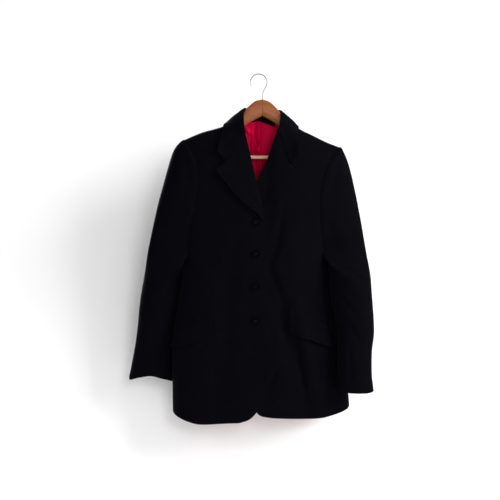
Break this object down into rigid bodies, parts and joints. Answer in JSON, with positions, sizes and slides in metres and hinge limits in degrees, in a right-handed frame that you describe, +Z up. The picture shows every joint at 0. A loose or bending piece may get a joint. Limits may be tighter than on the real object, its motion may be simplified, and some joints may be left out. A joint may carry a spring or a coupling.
{
  "type": "riding jacket on a wooden hanger",
  "caption": "Tailored wool riding jacket with notched lapels, slanted pocket flaps and flared skirt, buttoned, hanging on a wooden hanger with a trouser bar.",
  "frame": {"origin": "the inner top of the hook's bow, the point of the hanger that a rail carries", "axes": "+Z up; the coat's front faces -Y; +X is the viewer's right, the wearer's left. The coat hangs turned about 3 degrees on the hanger, as it was shown."},
  "size_m": [0.6348, 0.1352, 0.9027],
  "materials": {
    "wool": "near-black wool suiting with a short dull nap",
    "lining": "glossy crimson satin lining",
    "label": "bare black woven label",
    "button": "polished black horn-like resin",
    "beech": "orange-brown stained and lacquered beech",
    "pine": "pale turned wood, satin",
    "wire": "grey drawn steel wire"
  },
  "bodies": {
    "root": {"front_right": "wool", "front_left": "wool", "side_right": "wool", "side_left": "wool", "back_right": "wool", "back_left": "wool", "sleeve_top_right": "wool", "sleeve_top_left": "wool", "sleeve_under_right": "wool", "sleeve_under_left": "wool", "lapel_right": "wool", "lapel_left": "wool", "flap_right": "wool", "flap_left": "wool", "collar": "wool", "lining_back_right": "lining", "lining_back_left": "lining", "neck_label": "label", "button_1": "button", "button_2": "button", "button_3": "button", "button_4": "button", "hanger_arm_right": "beech", "hanger_arm_left": "beech", "trouser_bar": "pine", "hook": "wire"}
  },
  "joints": []
}
